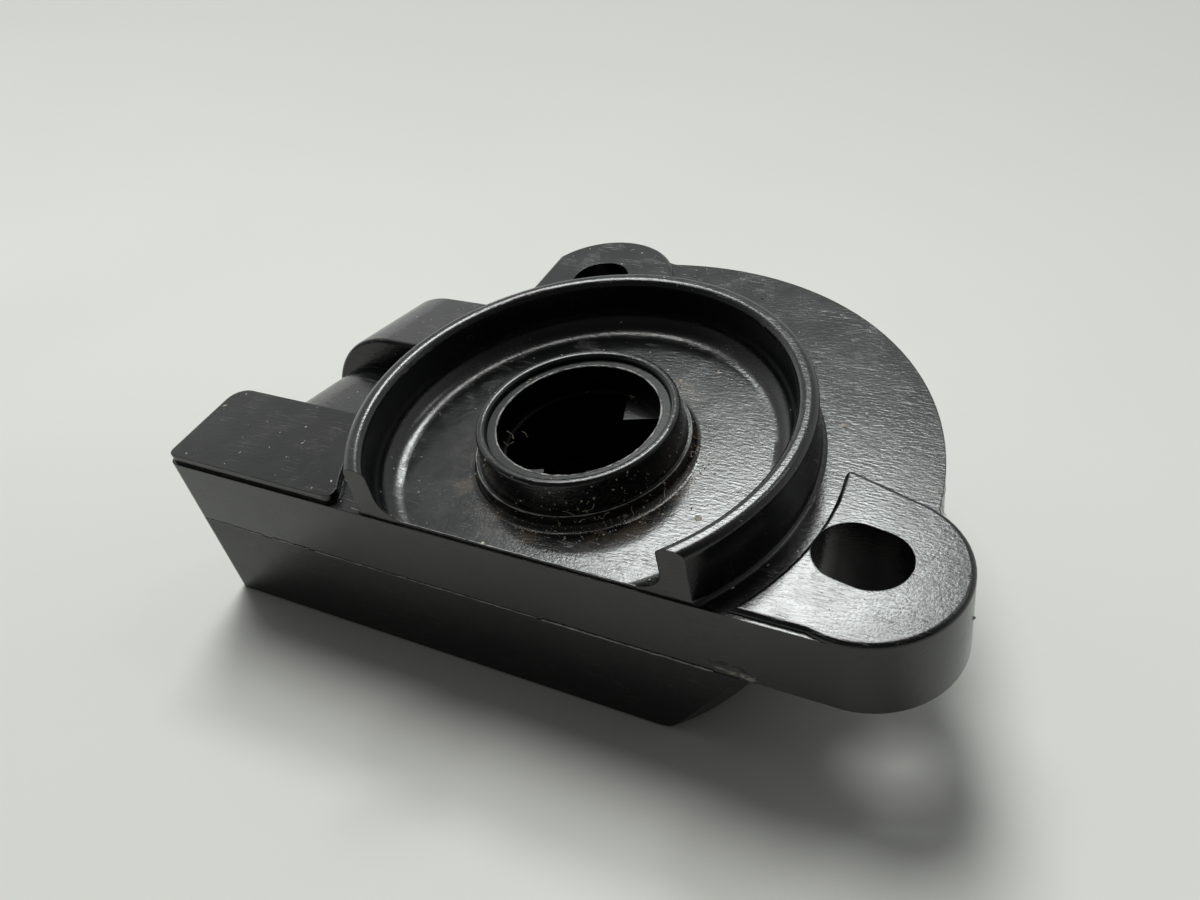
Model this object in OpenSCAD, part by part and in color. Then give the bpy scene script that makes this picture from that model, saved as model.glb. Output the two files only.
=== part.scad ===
// Throttle position sensor: a moulded housing with a dished mounting face, two slotted ears and
// a three-way connector, a sprung rotor that the throttle shaft turns, and a glued back cover.
// The origin is on the rotor's axis, level with the mounting pads. +Z leaves the mounting face,
// +X runs along the flat front to the front ear, and the connector faces +Y. Sizes in millimetres.

/* [Ring and dish] */
// Outer radius of the raised ring round the dish
ring_r = 18.55; // [18.3:0.05:19.2]
// Wall of the ring
ring_wall = 1.6; // [1.4:0.1:1.9]
// Top of the ring above the mounting pads
ring_top = 4.6; // [3:0.1:6]
// Rounding of the ring's top edges
ring_round = 0.65; // [0.2:0.05:0.68]
// Dish floor above the mounting pads, negative below them
dish_z = -0.15; // [-0.4:0.05:0.4]
// Fillet between the dish floor and the ring
dish_fillet = 2.0; // [1:0.1:2.8]
// Thickness of the dish floor
dish_floor = 2.2; // [2:0.1:3]
// The ring and dish stop this far behind the front face
ring_setback = 0.15; // [0.1:0.05:1]

/* [Collar] */
// Outer radius of the collar under its lip
collar_r = 8.1; // [8:0.05:8.6]
// Top of the collar above the mounting pads
collar_top = 3.85; // [3:0.05:5]
// Outer radius of the collar at its mould line
collar_foot_r = 8.65; // [8.6:0.05:9]
// Height of the collar's mould line above the mounting pads
collar_line_z = 1.1; // [0.6:0.1:2]
// Fillet between the collar and the dish floor
collar_fillet = 0.7; // [0.3:0.1:0.9]
// Rounding of the collar's lip
lip_round = 0.3; // [0.1:0.05:0.35]

/* [Flange and ears] */
// Distance from the rotor's axis to the flat front face
front_y = 11.85; // [11.3:0.05:12.5]
// Depth of the mounting face below the pads
face_drop = 0.45; // [0.3:0.05:0.8]
// Radius of the fan between the two ears
fan_r = 27.5; // [26.5:0.1:28]
// Radius of the round body under the ring
body_r = 20.9; // [20.7:0.1:21.6]
// Radius of the ends of the ears
ear_r = 7; // [6.5:0.1:7.2]
// Distance from the rotor's axis to the centre of each ear
ear_pitch_r = 24.8; // [24.4:0.1:25.2]
// Angle between the two ears
ear_span_deg = 125.6; // [122:0.2:128]
// Distance from the rotor's axis to the flat left side of the rear ear
ear_side_x = 16.5; // [16.3:0.1:17.2]
// Distance from the rotor's axis to the centre of each slot
slot_pitch_r = 24.2; // [24:0.1:24.6]
// Direction of the front slot from +X
slot_deg = -10.3; // [-11.5:0.1:-9.5]
// Angle between the two slots
slot_span_deg = 124.8; // [124:0.1:125.4]
// Width of the screw slots
slot_w = 5.5; // [5.1:0.1:5.8]
// Length of the screw slots beyond their width
slot_travel = 1.6; // [0.8:0.1:2.2]
// Rounding of the pads' top edges
pad_round = 0.4; // [0.2:0.05:0.6]
// Step of the front pad's edge behind the front face
pad_setback = 0.3; // [0.2:0.05:0.6]
// Radius at which the pads and the block stop short of the ring
moat_r = 20.5; // [20:0.1:20.6]
// Slant of the front pad's back edge against the ear
pad_flare_deg = 6.5; // [4:0.5:8]
// Radius of the front pad's back corner
pad_corner = 0.7; // [0.65:0.05:1]
// Radius of the inside corners between an ear and the fan
ear_fillet = 1.6; // [0.8:0.1:2.4]
// Thickness of the fan's plate over its cored underside
fan_plate = 2.4; // [2:0.1:3]
// Wall of the fan's skirt
fan_wall = 1.6; // [1.2:0.1:2]
// Thickness of the fan's ribs
fan_rib = 1.1; // [0.8:0.1:1.6]
// Number of ribs under the fan
fan_ribs = 6; // [3:1:8]

/* [Block] */
// Distance from the rotor's axis to the left end of the block
block_x = 36.35; // [35.8:0.05:37]
// Distance from the rotor's axis to the back of the block
block_back_y = 1.85; // [1.6:0.05:2.6]
// Top of the block above the mounting pads
block_top = 0.4; // [0.1:0.05:1]
// Radius of the block's front left corner
block_front_corner = 0.9; // [0.7:0.1:2.4]
// Radius of the block's back left corner
block_back_corner = 1.9; // [1.4:0.1:2.6]
// Step of the block's raised top behind the front face
block_setback = 0.25; // [0.2:0.05:0.6]
// Radius of the raised top's front right corner
block_top_corner = 0.8; // [0.5:0.1:1.4]

/* [Depths and walls] */
// Depth of the joint between housing and cover below the pads
joint_depth = 7.2; // [7:0.1:7.6]
// Depth of the cover's back below the pads
back_depth = 16.8; // [16.6:0.1:17.6]
// Radius of the cover's back, where its sloped side ends
back_r = 15.8; // [15.6:0.1:16.4]
// Rounding round the cover's back
back_round = 1.2; // [0.6:0.1:1.6]
// Wall of the housing and the cover
wall = 1.8; // [1.6:0.05:2]
// Floor of the cover
cover_floor = 1.6; // [1.4:0.1:1.8]
// Width of the seal bead between housing and cover
bead_w = 0.8; // [0.6:0.05:0.9]
// Depth of the seal bead in the cover's rim
bead_depth = 0.6; // [0.4:0.05:1]
// Width and depth of the fine step that shows as the joint line
joint_line = 0.1; // [0.05:0.01:0.2]

/* [Connector] */
// Distance from the rotor's axis to the middle of the connector
plug_x = 25.2; // [24.8:0.1:25.4]
// Distance behind the rotor's axis at which the shroud starts
plug_y = 7.65; // [7.4:0.05:8]
// Depth of the shroud's middle below the pads where it starts
plug_depth = 7.7; // [7.5:0.05:7.9]
// Downward tilt of the connector
plug_tilt_deg = 12; // [11:0.5:13]
// Length of the shroud
shroud_len = 11; // [10:0.1:11.3]
// Radius of the shroud's round sides
shroud_r = 7.25; // [7:0.05:7.35]
// Half the straight run of the shroud's top
shroud_flat = 2.2; // [1.9:0.1:2.4]
// Wall of the shroud
shroud_wall = 1.5; // [1.2:0.05:1.8]
// Thickness of the bulkhead behind the socket
bulkhead = 2.2; // [1.6:0.1:3]
// Radius of the neck's round sides
neck_r = 6.5; // [6.2:0.05:6.7]
// Half the straight run of the neck's top
neck_flat = 3.2; // [3:0.1:3.3]
// The neck's middle lies this far left of the shroud's
neck_shift = 0.6; // [0.5:0.05:0.8]
// The neck's middle lies this far below the shroud's
neck_drop = 2.5; // [2:0.1:2.6]
// Distance between neighbouring blades
blade_pitch = 4.2; // [4:0.1:4.4]
// Width of a blade
blade_w = 1.5; // [1.3:0.1:1.6]
// Thickness of a blade
blade_t = 0.8; // [0.6:0.05:0.9]
// Length of a blade inside the socket
blade_reach = 5.2; // [4.6:0.1:6]

/* [Rotor] */
// Running clearance between the rotor and its bearings, on the radius
run_clear = 0.05; // [0.02:0.01:0.08]
// Outer radius of the rotor's hub
hub_r = 7.3; // [7.2:0.05:7.4]
// Bore of the hub's mouth
hub_bore_r = 6.55; // [6.45:0.05:6.6]
// Bore of the hub below its mouth
socket_r = 6.35; // [6.1:0.05:6.4]
// Bottom of the hub's mouth above the mounting pads
mouth_z = 0.65; // [0.6:0.05:1.2]
// Top of the hub above the mounting pads
hub_top = 3.3; // [2.8:0.05:3.6]
// Depth of the hub's bore below the pads
hub_bore_depth = 6.4; // [6:0.1:6.8]
// Top of the drive lugs above the mounting pads
lug_top = 0.55; // [0:0.05:0.6]
// Distance from the rotor's axis to the edge of each drive lug
lug_edge_r = 3.95; // [3.6:0.05:4.4]
// Direction of the first drive lug from +X
lug_deg = 64; // [50:1:80]
// Thickness of the rotor's flange
rotor_flange_t = 1.8; // [1.5:0.1:2]
// Radius of the rotor's flange
rotor_flange_r = 9.4; // [9.1:0.05:9.5]
// Radius of the rotor's lower journal
journal_r = 3.5; // [3.2:0.1:3.8]
// Radius of the end of the wiper arm
arm_r = 13.2; // [13:0.1:13.6]
// Width of the wiper arm
arm_w = 7; // [6:0.1:7.6]
// Direction of the wiper arm from +X at rest
arm_deg = 32; // [28:1:36]

/* [Return spring and seal] */
// Wire of the return spring
wire_d = 0.8; // [0.6:0.05:0.9]
// Radius of the spring to the middle of its wire
coil_r = 8.45; // [8.3:0.05:8.6]
// Turns of the return spring
coil_turns = 3.25; // [2.25:1:3.25]
// Rise of the spring in one turn
coil_pitch = 1.05; // [0.95:0.05:1.1]
// Outer radius of the shaft seal
seal_r = 8.9; // [8.6:0.05:9.2]
// Height of the shaft seal
seal_h = 1.2; // [0.9:0.05:1.3]
// Thickness of the washer that keeps the seal in
keeper_t = 0.35; // [0.3:0.05:0.45]
// Inner radius of the thrust spring under the rotor
thrust_in_r = 1.6; // [1.2:0.1:2]
// Outer radius of the thrust spring
thrust_out_r = 3.2; // [3:0.05:3.25]
// Rise of the thrust spring's rim
thrust_rise = 0.35; // [0.3:0.01:0.4]
// Thickness of the thrust spring
thrust_t = 0.25; // [0.2:0.01:0.27]

/* [Element] */
// Thickness of the element board
board_t = 0.8; // [0.6:0.05:1]
// Thickness of the printed tracks
track_t = 0.05; // [0.05:0.01:0.1]
// Radius of the middle of the resistive track
track_outer_r = 12.2; // [12:0.1:12.4]
// Radius of the middle of the collector track
track_inner_r = 8.6; // [8.4:0.1:8.8]
// Width of the printed tracks
track_w = 1.8; // [1.4:0.1:2]
// Length of a contact pad
pad_len = 3.2; // [2.6:0.1:3.6]
// Width of a contact pad
pad_w = 2.6; // [2:0.1:3]
// Clearance drawn between the wipers and the tracks
wiper_clear = 0.1; // [0.05:0.01:0.15]
// Thickness of the plate that carries the wipers
plate_t = 0.3; // [0.2:0.05:0.4]
// Width of a wiper finger
finger_w = 0.36; // [0.3:0.02:0.4]
// Thickness of a wiper finger
finger_t = 0.2; // [0.15:0.01:0.25]

/* [Hidden] */
$fn = 96;

// Colours as the photograph shows them, and those usual for the pieces inside
black_plastic = [0.09, 0.09, 0.10];
cover_plastic = [0.11, 0.11, 0.12];
rubber = [0.05, 0.05, 0.05];
brass = [0.78, 0.62, 0.32];
steel = [0.62, 0.63, 0.65];
board_cream = [0.78, 0.74, 0.62];
carbon = [0.12, 0.12, 0.13];
silver_ink = [0.70, 0.70, 0.68];

// A hair by which shapes run into each other, and the clearance of pieces that fit together
eps = 0.01;
fit = 0.02;

// Levels, from the mounting pads at z = 0
face_z = -face_drop;
ceiling_z = dish_z - dish_floor;
joint_z = -joint_depth;
back_z = -back_depth;
floor_z = back_z + cover_floor;
ring_front_y = -front_y + ring_setback;
block_front_y = -front_y + block_setback;
inner_front_y = -front_y + wall;
inner_left_x = -block_x + wall;
inner_back_y = -block_back_y - wall;
chamber_r = body_r - wall;
// The chamber and the cover have a flat side at this distance left of the axis, beside the connector
side_x = plug_x - shroud_flat - shroud_r - 0.3;
cover_h = back_depth - joint_depth;
// Slope of the bowl's side from level, and its inner radius at the cover's floor
side_deg = atan2(cover_h, body_r - back_r);
bowl_r = back_r + (body_r - back_r) * cover_floor / cover_h - wall / sin(side_deg);
board_r = bowl_r - 0.3;

// Ears: the front ear's round end touches the flat front face
front_ear_deg = -asin((front_y - ear_r + eps) / ear_pitch_r);
rear_ear_deg = front_ear_deg + ear_span_deg;
slot_angles = [slot_deg, slot_deg + slot_span_deg];
function polar(r, a) = [r * cos(a), r * sin(a)];
ear_angles = [front_ear_deg, rear_ear_deg];
// Angle between an ear's centre and the middle of its inside fillet with the fan
fillet_deg = acos((pow(ear_pitch_r, 2) + pow(fan_r + ear_fillet, 2) - pow(ear_r + ear_fillet, 2))
                  / (2 * ear_pitch_r * (fan_r + ear_fillet)));

// Rotor and bearings
bearing_r = hub_r + run_clear;
hub_bottom = -hub_bore_depth - 1.2;
rotor_flange_z = hub_bottom - rotor_flange_t;
cup_r = journal_r + 1.5;
cup_h = 3.2;
cup_top = floor_z + cup_h;
journal_end = floor_z + 0.9;
board_stand = 0.4;
board_z = floor_z + board_stand;
board_top = board_z + board_t;
track_top = board_top + track_t;
board_clear = 0.4;

// Spring
keeper_z = ceiling_z - keeper_t;
coil_z = keeper_z - wire_d / 2 - 0.15 - coil_turns * coil_pitch;
coil_top_z = coil_z + coil_turns * coil_pitch;
coil_start_deg = 200;
coil_end_deg = coil_start_deg + 360 * coil_turns;
post_w = 2.2;
post_r0 = 9.9;
post_r1 = 12.6;
fixed_leg_r = post_r1 - 0.4;
leg_gap = 0.05;
leg_start_deg = coil_end_deg + asin(leg_gap / coil_r);
leg_run_deg = 12;
leg_depth = 1.2;

// Connector
blade_x = [for (i = [-1:1]) -plug_x + i * blade_pitch];
drop_y = (inner_front_y + inner_back_y) / 2;
foot_z = board_top + 1.2;
foot_t = 0.4;
foot_half = 1.2;

// A wiper's fingers: how far behind the arm they start, their run, their pitch and their joined roots
finger_back = 2.6;
finger_run = 4.2;
finger_pitch = 0.5;
root_w = 0.8;

// A distance from the axis that lies beyond the whole part
beyond = 60;

// No round corner drawn inside another gets smaller than this
least_corner = 0.2;

// Plan shapes
module above_front(y) { translate([-beyond, y]) square([2 * beyond, beyond]); }

module corner_cut(r) {
    // What a square corner at the origin loses when it is rounded to radius r
    difference() {
        translate([-eps, -eps]) square(r + eps);
        translate([r, r]) circle(r);
    }
}

module block_plan(front, inset = 0) {
    // The block's outline, with its two round corners on the left
    x = -block_x + inset;
    back = -block_back_y - inset;
    difference() {
        translate([x, front]) square([-x, back - front]);
        translate([x, front]) corner_cut(max(block_front_corner - inset, least_corner));
        translate([x, back]) mirror([0, 1]) corner_cut(max(block_back_corner - inset, least_corner));
    }
}

module ear_plan(a, r = ear_r) {
    // A round end with parallel sides that run to the body
    rotate(a) {
        translate([ear_pitch_r, 0]) circle(r);
        translate([10, -r]) square([ear_pitch_r - 10, 2 * r]);
    }
}

module ear_corner(a, side) {
    // Fills the inside corner between an ear and the fan; the round corner runs a hair into both
    c = polar(fan_r + ear_fillet, a + side * fillet_deg);
    e = polar(ear_pitch_r, a);
    into = 1.5 * ear_fillet;
    difference() {
        polygon([c * (1 - into / norm(c)), c, c + (e - c) * (into / norm(e - c)), e]);
        translate(c) circle(ear_fillet + eps);
    }
}

module fan_plan(r) {
    // The fan between the ears' middle lines
    reach = 2 * fan_r;
    mid = (front_ear_deg + rear_ear_deg) / 2;
    intersection() {
        circle(r);
        polygon([[0, 0], polar(reach, front_ear_deg), polar(reach, mid), polar(reach, rear_ear_deg)]);
    }
}

module flange_plan() {
    intersection() {
        union() {
            circle(body_r);
            fan_plan(fan_r);
            for (a = ear_angles) ear_plan(a);
            ear_corner(front_ear_deg, 1);
            ear_corner(rear_ear_deg, -1);
        }
        above_front(-front_y);
        right_of_side();
    }
    block_plan(-front_y);
    translate([-1, -front_y]) square([ear_pitch_r * cos(front_ear_deg) + 1, front_y]);
}

module right_of_side() {
    // What the rear ear's flat left side leaves, with the body below it kept
    translate([-ear_side_x, -beyond]) square([2 * beyond, 2 * beyond]);
    circle(body_r);
}

module slot_plan(w) {
    // A slot whose ends lie along the line from the rotor's axis
    for (s = [-1, 1]) translate([slot_pitch_r + s * slot_travel / 2, 0]) circle(d = w);
    translate([slot_pitch_r - slot_travel / 2, -w / 2]) square([slot_travel, w]);
}

// Turned shapes
module round_top(r0, r1, z0, z1, f) {
    // Section of a wall from radius r0 to r1 whose top corners are rounded
    translate([r0, z0]) square([r1 - r0, z1 - f - z0]);
    translate([r0 + f, z0]) square([r1 - r0 - 2 * f, z1 - z0]);
    for (r = [r0 + f, r1 - f]) translate([r, z1 - f]) circle(f, $fn = 32);
}

module round_rim(r, z0, z1, f) {
    // Half section of a disc whose top edge is rounded
    translate([0, z0]) square([r, z1 - f - z0]);
    translate([0, z0]) square([r - f, z1 - z0]);
    translate([r - f, z1 - f]) circle(f, $fn = 32);
}

module inside_fillet(r, z, f, side) {
    // Section of a fillet that stands on level z against a wall at radius r
    translate([r, z]) mirror([side > 0 ? 0 : 1, 0]) difference() {
        translate([-eps, -eps]) square(f + eps);
        translate([f, f]) circle(f, $fn = 48);
    }
}

module collar_section() {
    round_top(bearing_r, collar_r, dish_z - eps, collar_top, lip_round);
    polygon([[bearing_r, dish_z - eps], [collar_foot_r + 0.15, dish_z - eps],
             [collar_foot_r, collar_line_z], [collar_foot_r - 0.25, collar_line_z],
             [collar_r, collar_top - 2 * lip_round], [bearing_r, collar_top - 2 * lip_round]]);
    inside_fillet(collar_foot_r, dish_z, collar_fillet, 1);
}

module ring_and_collar() {
    rotate_extrude() {
        round_top(ring_r - ring_wall, ring_r, face_z - eps, ring_top, ring_round);
        inside_fillet(ring_r - ring_wall, dish_z, dish_fillet, -1);
        inside_fillet(ring_r, face_z, 0.4, 1);
        translate([bearing_r, face_z - 1]) square([ring_r - bearing_r - eps, dish_z - face_z + 1]);
        collar_section();
    }
}

// Pads
module nose_cut(c, tip, foot_deg, r) {
    // What a pointed corner of a plan loses when it is rounded to radius r about c. One of its sides
    // lies towards foot_deg from c, and the other faces the rotor's axis.
    over = 1.3;
    difference() {
        polygon([c, c + polar(over * r, foot_deg), c + (tip - c) * over, c * (1 - over * r / norm(c))]);
        translate(c) circle(r - eps);
    }
}

module pad_bar(run, r) {
    // What leads to a pad's round end, with both top edges rounded
    rotate([90, 0, -90]) linear_extrude(run) round_top(-r, r, face_z - 1, 0, pad_round);
}

module moat_cut() {
    // The moat round the ring, with the rounded edge that it leaves on the pads
    rotate_extrude() {
        translate([0, -3]) square([moat_r, 4]);
        translate([moat_r, 0]) mirror([0, 1]) corner_cut(pad_round);
    }
}

module side_cut() {
    // The flat left side of the rear ear, with its rounded edge
    translate([-ear_side_x, 60, 0]) rotate([90, 0, 0]) linear_extrude(60 + face_z) {
        translate([-60, -5]) square([60, 10]);
        mirror([0, 1]) corner_cut(pad_round);
    }
}

// Where the front pad's back edge, moved in by q, meets the moat's edge, moved out by q
pad_edge_deg = front_ear_deg + 90 - pad_flare_deg;
slant_r = ear_r - 3 * eps;
function pad_corner_at(q) =
    let (b = polar(ear_pitch_r, front_ear_deg) + polar(slant_r - q, pad_edge_deg),
         u = polar(1, pad_edge_deg + 90))
    b - u * (b * u + sqrt(pow(b * u, 2) - b * b + pow(moat_r + q, 2)));

module front_pad() {
    // Its back edge slants, its front edge runs along the front face, and its back corner is round
    run = ear_pitch_r - 12;
    difference() {
        union() {
            rotate(front_ear_deg) translate([ear_pitch_r, 0, 0]) {
                rotate_extrude() round_top(0, ear_r, face_z - 1, 0, pad_round);
                rotate(-pad_flare_deg) pad_bar(run, slant_r);
            }
            translate([ear_pitch_r * cos(front_ear_deg) - 12, 0, 0])
                    rotate([90, 0, 90]) linear_extrude(12) {
                round_top(-front_y + pad_setback, 0, face_z - 1, 0, pad_round);
            }
        }
        moat_cut();
        translate([0, 0, -3]) linear_extrude(4) {
            nose_cut(pad_corner_at(pad_corner), pad_corner_at(0), pad_edge_deg, pad_corner);
        }
        translate([-60, -60 - front_y, -5]) cube([120, 60, 10]);
    }
}

module rear_pad() {
    difference() {
        rotate(rear_ear_deg) translate([ear_pitch_r, 0, 0]) {
            rotate_extrude() round_rim(ear_r, face_z - 1, 0, pad_round);
            pad_bar(ear_pitch_r - 12, ear_r);
        }
        side_cut();
        moat_cut();
    }
}

module block_top_body() {
    // The raised top of the block, stopped by the moat round the ring
    r = block_top_corner;
    y = block_front_y;
    translate([0, 0, face_z - 1]) linear_extrude(block_top - face_z + 1) difference() {
        block_plan(y, 0.15);
        circle(moat_r);
        nose_cut([-sqrt(pow(moat_r + r, 2) - pow(y + r, 2)), y + r],
                 [-sqrt(pow(moat_r, 2) - y * y), y], -90, r);
    }
}

// Connector shapes, drawn along +Z and turned to leave the body towards +Y
module along_plug() {
    translate([-plug_x, plug_y, -plug_depth]) rotate([-90 - plug_tilt_deg, 0, 0]) children();
}

module oblong(half) {
    // A solid with round ends and a straight middle, from the section of its round end
    for (s = [-1, 1]) translate([s * half, 0, 0]) rotate_extrude() children();
    rotate([90, 0, 90]) translate([0, 0, -half]) linear_extrude(2 * half) {
        children();
        mirror([1, 0]) children();
    }
}

module shroud_body() {
    along_plug() oblong(shroud_flat) {
        round_rim(shroud_r, shroud_len / 2, shroud_len, 0.35);
        mirror([0, 1]) round_rim(shroud_r, -shroud_len / 2 - eps, 0, 0.4);
    }
}

module neck_body() {
    along_plug() translate([-neck_shift, neck_drop, -13]) oblong(neck_flat) square([neck_r, 13.5]);
}

module socket_space() {
    along_plug() translate([0, 0, bulkhead]) oblong(shroud_flat) {
        square([shroud_r - shroud_wall, shroud_len]);
    }
}

// Chamber and cover envelope
module beside_plug(out = 0) {
    // The room behind the box that the chamber and the cover leave to the connector
    translate([-60, -block_back_y + out]) square([60 - side_x - out, 60]);
}

module chamber_plan(r) {
    difference() {
        intersection() {
            circle(r);
            above_front(inner_front_y);
        }
        beside_plug(-wall);
    }
    translate([inner_left_x, inner_front_y]) square([-inner_left_x, inner_back_y - inner_front_y]);
}

module bowl_section(grow) {
    // Half section of the bowl: level back, sloped side, and a round corner that touches both
    corner = back_round / tan(90 - side_deg / 2);
    slope_x = back_r + grow + corner * cos(side_deg);
    polygon([[0, -grow], [back_r + grow - corner, -grow], [slope_x, corner * sin(side_deg) - grow],
             [body_r + grow, cover_h], [0, cover_h]]);
    translate([back_r + grow - corner, back_round - grow]) circle(back_round, $fn = 64);
}

module cover_envelope(grow = 0) {
    // The cover's outer form: a sloped bowl and the box under the block, cut off at the front
    intersection() {
        union() {
            translate([0, 0, back_z]) rotate_extrude() intersection() {
                bowl_section(grow);
                translate([0, -1]) square([60, cover_h + 1]);
            }
            translate([0, 0, back_z - grow]) linear_extrude(cover_h + grow) {
                block_plan(-front_y - grow, -grow);
            }
        }
        translate([0, 0, back_z - 1]) linear_extrude(30) difference() {
            above_front(-front_y - grow);
            beside_plug(grow);
        }
    }
}

module cover_space() {
    // The cover's inside: the bowl and the box, clear of the front wall
    intersection() {
        translate([0, 0, floor_z]) rotate_extrude() polygon([[0, 0], [bowl_r, 0],
            [chamber_r, joint_z - floor_z], [chamber_r, joint_z - floor_z + 5],
            [0, joint_z - floor_z + 5]]);
        translate([0, 0, floor_z - 1]) linear_extrude(30) difference() {
            above_front(inner_front_y);
            beside_plug(-wall);
        }
    }
    translate([inner_left_x, inner_front_y, floor_z]) {
        cube([-inner_left_x, inner_back_y - inner_front_y, joint_z - floor_z + 5]);
    }
}

// Pieces
module housing() {
    color(black_plastic) {
        difference() {
            housing_body();
            housing_cuts();
        }
        spring_post();
    }
}

module housing_body() {
    translate([0, 0, joint_z]) linear_extrude(face_z - joint_z) flange_plan();
    intersection() {
        ring_and_collar();
        translate([-60, ring_front_y, -10]) cube([120, 60, 20]);
    }
    front_pad();
    rear_pad();
    block_top_body();
    neck_limited();
    shroud_body();
}

module housing_cuts() {
    chamber_cut();
    ear_slots();
    fan_pockets();
    socket_space();
    blade_holes();
    translate([0, 0, ceiling_z - 1]) cylinder(r = bearing_r, h = 10);
    translate([0, 0, ceiling_z - eps]) cylinder(r = seal_r + fit, h = seal_h + eps);
}

module neck_limited() {
    // The neck stays outside the cover
    difference() {
        neck_body();
        cover_envelope(0.06);
        translate([-60, -60 - block_back_y - 0.02, -40]) cube([120, 60, 40 + joint_z]);
    }
}

module chamber_cut() {
    translate([0, 0, joint_z - 1]) linear_extrude(ceiling_z - joint_z + 1) chamber_plan(chamber_r);
}

module ear_slots() {
    for (a = slot_angles) rotate(a) {
        translate([0, 0, joint_z - 1]) linear_extrude(joint_depth + 2) slot_plan(slot_w);
    }
}

module fan_pockets() {
    // The fan is cored from below between the body and its skirt, and ribs cross the space
    inner = body_r + 0.6;
    outer = fan_r - fan_wall;
    first = front_ear_deg + 19.5;
    last = rear_ear_deg - 19.5;
    step = (last - first) / (fan_ribs + 1);
    for (i = [0:fan_ribs]) {
        a0 = first + i * step;
        half_rib = asin(fan_rib / 2 / inner);
        translate([0, 0, joint_z - 1]) linear_extrude(joint_depth + 1 + face_z - fan_plate) {
            intersection() {
                difference() {
                    circle(outer);
                    circle(inner);
                }
                polygon([[0, 0], polar(60, a0 + half_rib), polar(60, a0 + step - half_rib)]);
            }
        }
    }
}

module blade_bar(i, w, t, back, reach) {
    // A bar along the blade's own line, from behind the shoulder to its tip
    along_plug() translate([blade_x[i] + plug_x - w / 2, -t / 2, -back]) cube([w, t, back + reach]);
}

module blade_holes() {
    for (i = [0:2]) blade_bar(i, blade_w + 2 * fit, blade_t + 2 * fit, 16, bulkhead + 1);
}

module spring_post() {
    // The post under the chamber's ceiling whose notch holds the spring's fixed leg
    notch = wire_d + 2 * fit;
    rotate(coil_start_deg) difference() {
        translate([post_r0, -post_w / 2, coil_top_z - 1.4]) {
            cube([post_r1 - post_r0, post_w, ceiling_z - coil_top_z + 1.4 + eps]);
        }
        translate([post_r0 - 1, -notch / 2, coil_top_z - 2]) cube([10, notch, 2 + notch / 2]);
    }
}

module back_cover() {
    color(cover_plastic) difference() {
        union() {
            difference() {
                cover_envelope();
                cover_space();
            }
            translate([0, 0, floor_z - eps]) cylinder(r = cup_r, h = cup_top - floor_z + eps);
            board_rests();
        }
        translate([0, 0, journal_end - 0.7]) cylinder(r = journal_r + run_clear, h = 20);
        bead_groove();
        joint_groove();
    }
}

module joint_groove() {
    // The fine step round the cover's rim that shows as the joint line
    translate([0, 0, joint_z - joint_line]) linear_extrude(1) difference() {
        bead_outline(1);
        bead_outline(-joint_line);
    }
}

module board_rests() {
    // Low ribs that carry the element board
    translate([0, 0, floor_z - eps]) linear_extrude(board_z - floor_z + eps) {
        for (a = [20, 90, 160]) rotate(a) translate([cup_r + 1, -0.6]) square([board_r - cup_r - 1, 1.2]);
        for (x = [-32, -23]) translate([x, inner_front_y]) square([1.2, inner_back_y - inner_front_y]);
    }
}

module bead_path(w) {
    // The seal's path in plan: round the chamber and round the box
    inset = (wall - w) / 2;
    difference() {
        bead_outline(-inset);
        bead_outline(-inset - w);
    }
}

module bead_outline(out) {
    // The outer wall's outline, moved in by -out
    difference() {
        intersection() {
            circle(chamber_r + wall + out);
            above_front(-front_y - out);
        }
        beside_plug(out);
    }
    block_plan(-front_y - out, -out);
}

module bead_groove() {
    translate([0, 0, joint_z - bead_depth]) linear_extrude(bead_depth + 1) bead_path(bead_w);
}

module cover_seal() {
    color(rubber) translate([0, 0, joint_z - bead_depth]) linear_extrude(bead_depth) {
        bead_path(bead_w - 2 * fit);
    }
}

module shaft_seal() {
    color(rubber) translate([0, 0, ceiling_z]) rotate_extrude() difference() {
        translate([bearing_r, 0]) square([seal_r - bearing_r, seal_h]);
        translate([bearing_r, seal_h / 2]) circle(seal_h / 4, $fn = 24);
    }
}

module seal_keeper() {
    color(steel) translate([0, 0, keeper_z]) difference() {
        cylinder(r = seal_r + 0.4, h = keeper_t);
        translate([0, 0, -1]) cylinder(r = hub_r + 0.25, h = 2);
    }
}

// Return spring
module wire_run(points, normals, ups, d, sides = 8) {
    // A closed tube through points; each ring stands across its path, along its normal and its up
    n = len(points);
    ring = [for (k = [0:n - 1]) for (j = [0:sides - 1])
        let (a = 360 * (j + 0.5) / sides)
        points[k] + normals[k] * (d / 2 * cos(a)) + ups[k] * (d / 2 * sin(a))];
    faces = concat(
        [[for (j = [0:sides - 1]) j]],
        [for (k = [0:n - 2]) for (j = [0:sides - 1])
            let (a = k * sides + j, b = k * sides + (j + 1) % sides)
            [a, a + sides, b + sides, b]],
        [[for (j = [sides - 1:-1:0]) (n - 1) * sides + j]]);
    polyhedron(points = ring, faces = faces, convexity = 10);
}

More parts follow.
